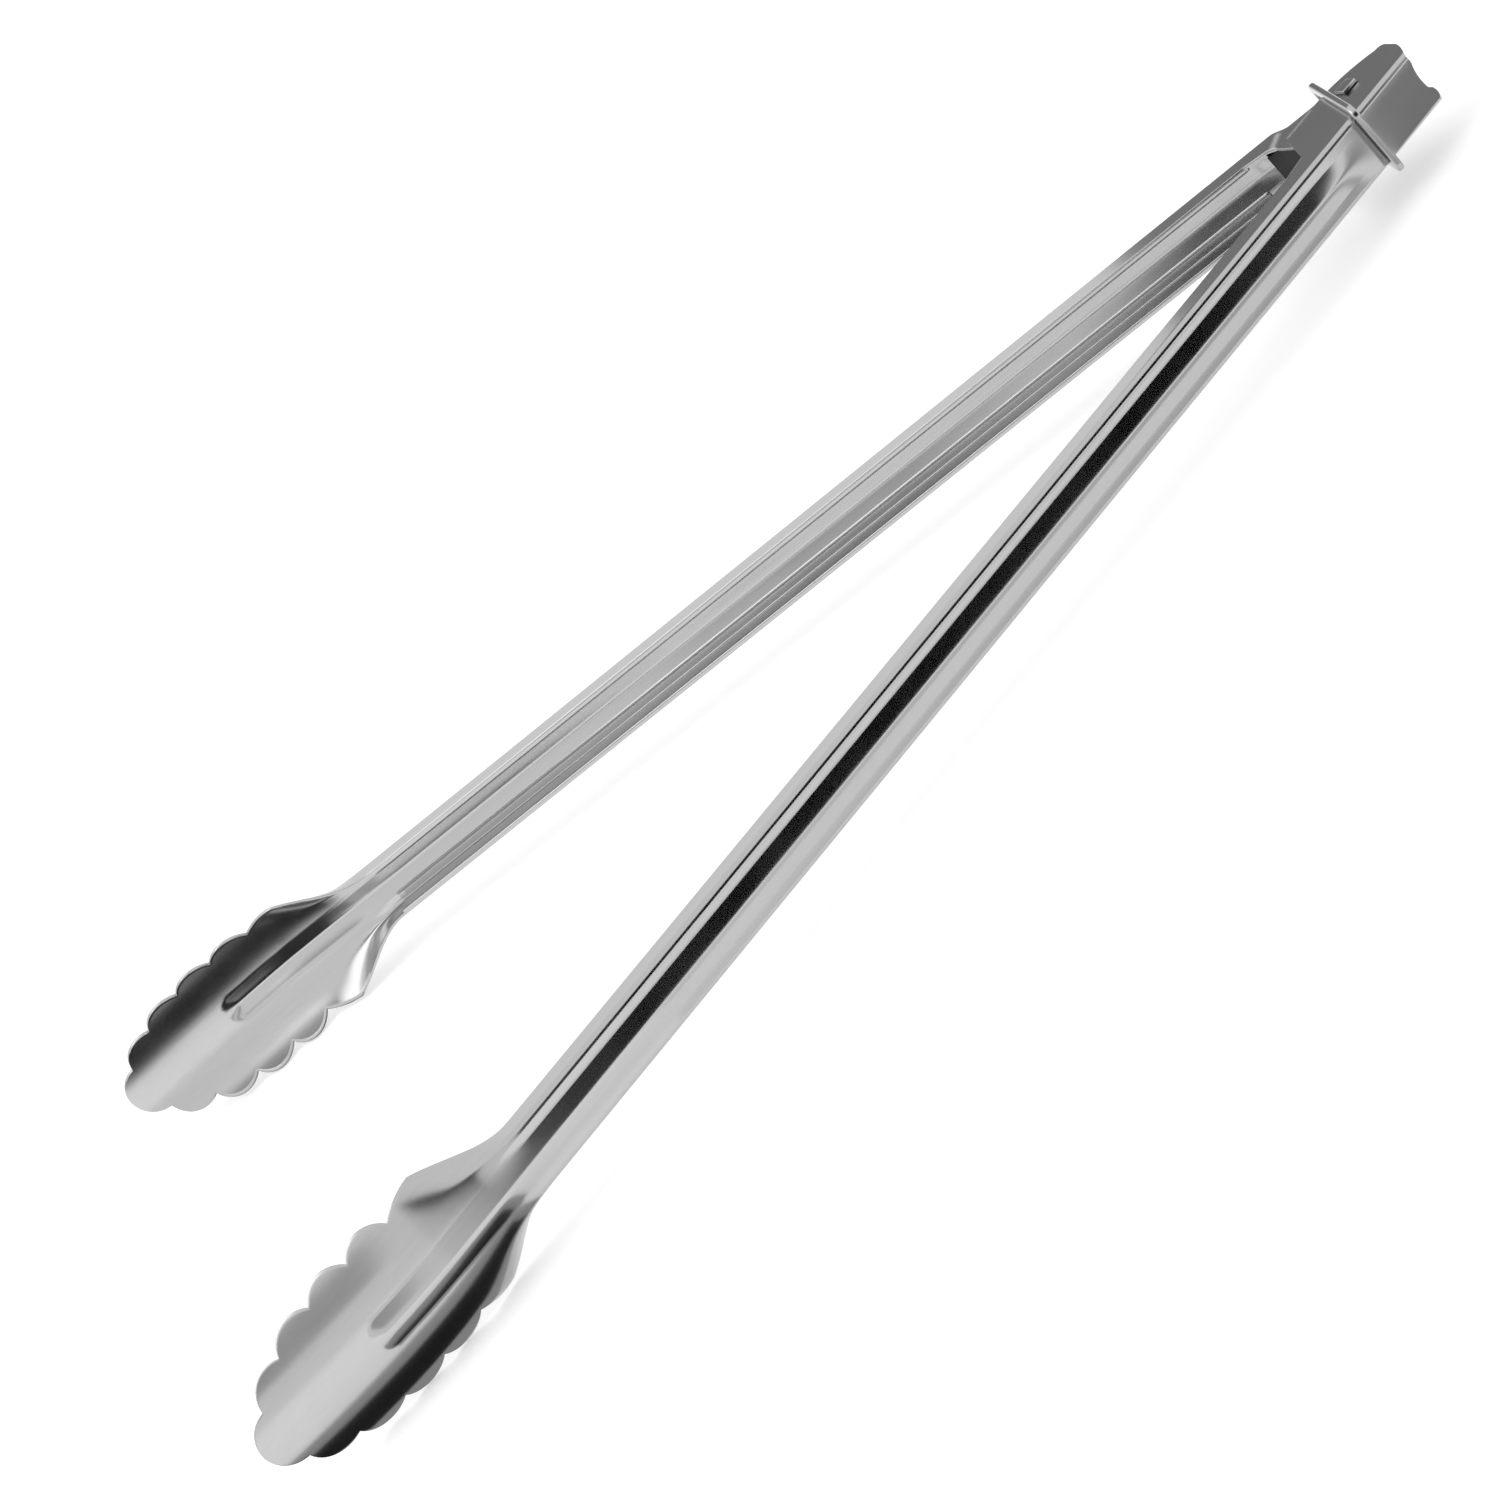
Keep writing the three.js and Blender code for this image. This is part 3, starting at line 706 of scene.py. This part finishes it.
FLOOR_LEVEL = min(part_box(n)[0].z for n in frame["nodes"])
FLOOR_HALF_SIZE, FLOOR_CENTRE, FLOOR_DROP, FLOOR_COLOUR, FLOOR_LIFT = 6.0, 0.18, 0.0002, 0.84, 0.3
ROOM_LIGHT, WHITE = 0.92, 1.0
KEY_PLACE, KEY_SIZE, KEY_WATTS = Vector((0.9, 0.5, 1.6)), 1.6, 10

# The camera's place is from the hinge, in metres. It stands over the outer arm's side.
CAMERA_PLACE, CAMERA_TURN = Vector((0.17863, 1.06476, 0.40759)), (61.263, 41.138, 161.541)
CAMERA_LENS, CAMERA_SENSOR = 118.34, 36

# The shade cards' corners are in millimetres from the hinge. FLOOR_CARDS lie just over the
# floor, a jaw's dim card a little below its dark one, and ROOM_CARDS stand in the room.
CARD_HEIGHT, DIM_CARD_HEIGHT, FLANK_CARD_HEIGHT = -18.0, -18.03, -17.98
FLOOR_CARDS = (
    ("head_shade", ((-90, 15), (-1, 15), (-47, 90), (-90, 90)), CARD_HEIGHT, 0.3),
    ("near_jaw_dim", ((300, 98), (394, 110), (394, 127), (300, 115)), DIM_CARD_HEIGHT, 0.4),
    ("near_jaw_shade", ((304, 101), (392, 112.5), (392, 120.5), (304, 109)), CARD_HEIGHT, 0.02),
    ("far_jaw_dim", ((318, -104), (388, -104), (388, -80), (318, -80)), DIM_CARD_HEIGHT, 0.4),
    ("far_jaw_shade", ((322, -97.5), (384, -99), (384, -84), (322, -84)), CARD_HEIGHT, 0.02),
)
ROOM_CARDS = (
    ("ear_shade", ((-110, -250, 20), (38, -250, 20), (38, -250, 280), (-110, -250, 280)), 0.26),
    ("near_lobe_shade", ((290, 335, 102), (290, 285, 195), (450, 300, 195), (450, 350, 102)), 0.5),
    ("far_lobe_shade", ((340, 72, 142), (340, 5, 200), (500, 5, 200), (500, 72, 142)), 0.3),
)
STRIPE_WAY, STRIPE_DISTANCE, STRIPE_HALF_WIDTH = Vector((-0.473, 0.794, 0.382)), 250, 95
STRIPE_START, STRIPE_END = -60, FLAT_END + 24
FLANK_START, FLANK_END, FLANK_NEAR, FLANK_FAR = 6, FLAT_END - 60, 14, 80
FLANK_HEAD_LEVEL, FLANK_JAW_LEVEL = 0.55, 1.0

ARM_ALONG = Vector((math.cos(HALF_OPENING), math.sin(HALF_OPENING), 0))
ARM_OUT = Vector((-math.sin(HALF_OPENING), math.cos(HALF_OPENING), 0))


def seen_or_mirrored(tree):
    """1 for camera, glossy and transmission rays and 0 for the rays that light the object."""
    path = add_node(tree, "LightPath", {})
    total = path.outputs["Is Camera Ray"]
    for ray in ("Is Glossy Ray", "Is Transmission Ray"):
        both = {0: total, 1: path.outputs[ray]}
        total = add_node(tree, "Math", both, operation="ADD", use_clamp=True).outputs["Value"]
    return total


def show(material, tree, shader, mesh):
    """Makes shader the whole surface of material, and material the mesh's."""
    tree.nodes.remove(tree.nodes["Principled BSDF"])
    tree.links.new(shader, tree.nodes["Material Output"].inputs["Surface"])
    mesh.materials.append(material)


def build_floor():
    """A pale floor that keeps the shadow and is white where it is seen or mirrored."""
    mesh = bpy.data.meshes.new("floor")
    s = FLOOR_HALF_SIZE
    mesh.from_pydata([(-s, -s, 0), (s, -s, 0), (s, s, 0), (-s, s, 0)], [], [(0, 1, 2, 3)])
    floor = add_object("floor", mesh)
    floor.location = (FLOOR_CENTRE, 0, FLOOR_LEVEL - FLOOR_DROP)
    material, tree = new_material("floor")
    diffuse = add_node(tree, "BsdfDiffuse", {"Color": (FLOOR_COLOUR, FLOOR_COLOUR, FLOOR_COLOUR, 1)})
    lift = add_node(tree, "Math", {0: seen_or_mirrored(tree), 1: FLOOR_LIFT}, operation="MULTIPLY")
    glow = add_node(tree, "Emission", {"Strength": lift.outputs["Value"]})
    both = add_node(tree, "AddShader", {0: diffuse.outputs["BSDF"], 1: glow.outputs["Emission"]})
    show(material, tree, both.outputs["Shader"], mesh)


def build_shade(name, corners, level, far_level=None):
    """A grey card that only reflections see, and that casts no shadow. It may fade along X."""
    mesh = bpy.data.meshes.new(name)
    mesh.from_pydata([tuple(HINGE + Vector(c) * MM) for c in corners], [], [(0, 1, 2, 3)])
    card = add_object(name, mesh)
    material, tree = new_material(name)
    glow = add_node(tree, "Emission", {"Color": (1, 1, 1, 1), "Strength": level})
    if far_level is not None:
        place = add_node(tree, "TexCoord", {}).outputs["Generated"]
        x = add_node(tree, "SeparateXYZ", {"Vector": place}).outputs["X"]
        fade = add_node(tree, "MapRange", {"Value": x, "To Min": level, "To Max": far_level})
        tree.links.new(fade.outputs["Result"], glow.inputs["Strength"])
    show(material, tree, glow.outputs["Emission"], mesh)
    card.visible_camera = False
    card.visible_diffuse = False
    card.visible_shadow = False
    card.visible_transmission = False


def build_stripe_shade():
    """Lies where the outer arm's rib mirrors it to the camera, for as long as the arm is straight."""
    across = STRIPE_WAY.cross(ARM_ALONG).normalized() * STRIPE_HALF_WIDTH
    out = ARM_OUT * OUTER_WEB + STRIPE_WAY * STRIPE_DISTANCE
    head, jaw = ARM_ALONG * STRIPE_START + out, ARM_ALONG * STRIPE_END + out
    build_shade("stripe_shade", (head - across, jaw - across, jaw + across, head + across), 0.0)


def build_flank_shade():
    """Lies on the floor beside the outer arm, where the arm's flat mirrors it."""
    near, far = ARM_OUT * (OUTER_WEB + FLANK_NEAR), ARM_OUT * (OUTER_WEB + FLANK_FAR)
    height = Vector((0, 0, FLANK_CARD_HEIGHT))
    head, jaw = ARM_ALONG * FLANK_START + height, ARM_ALONG * FLANK_END + height
    corners = (head + near, jaw + near, jaw + far, head + far)
    build_shade("flank_shade", corners, FLANK_HEAD_LEVEL, FLANK_JAW_LEVEL)


def build_world():
    """An even white room. What is seen or mirrored of it is plain white."""
    world = bpy.data.worlds.new("studio")
    bpy.context.scene.world = world
    world.use_nodes = True
    tree = world.node_tree
    tree.nodes.clear()
    room = add_node(tree, "Background", {"Color": (1, 1, 1, 1), "Strength": ROOM_LIGHT})
    white = add_node(tree, "Background", {"Color": (1, 1, 1, 1), "Strength": WHITE})
    choice = {"Fac": seen_or_mirrored(tree), 1: room.outputs["Background"], 2: white.outputs["Background"]}
    mix = add_node(tree, "MixShader", choice)
    add_node(tree, "OutputWorld", {"Surface": mix.outputs["Shader"]})


def build_key():
    """A large soft lamp over the object, turned toward the world's origin."""
    lamp = bpy.data.lights.new("key", "AREA")
    lamp.shape = "RECTANGLE"
    lamp.size, lamp.size_y = KEY_SIZE, KEY_SIZE
    lamp.energy = KEY_WATTS
    key = bpy.data.objects.new("key", lamp)
    bpy.context.scene.collection.objects.link(key)
    key.location = KEY_PLACE
    key.rotation_euler = (-KEY_PLACE).to_track_quat("-Z", "Y").to_euler()


def build_camera():
    data = bpy.data.cameras.new("camera")
    data.sensor_width = CAMERA_SENSOR
    data.lens = CAMERA_LENS
    data.clip_start, data.clip_end = 0.05, 50
    camera = bpy.data.objects.new("camera", data)
    bpy.context.scene.collection.objects.link(camera)
    camera.location = HINGE + CAMERA_PLACE
    camera.rotation_euler = tuple(math.radians(a) for a in CAMERA_TURN)
    bpy.context.scene.camera = camera


build_floor()
build_world()
for name, corners, height, level in FLOOR_CARDS:
    build_shade(name, [(x, y, height) for x, y in corners], level)
for name, corners, level in ROOM_CARDS:
    build_shade(name, corners, level)
build_stripe_shade()
build_flank_shade()
build_key()
build_camera()

scene = bpy.context.scene
scene.view_settings.view_transform = "Standard"
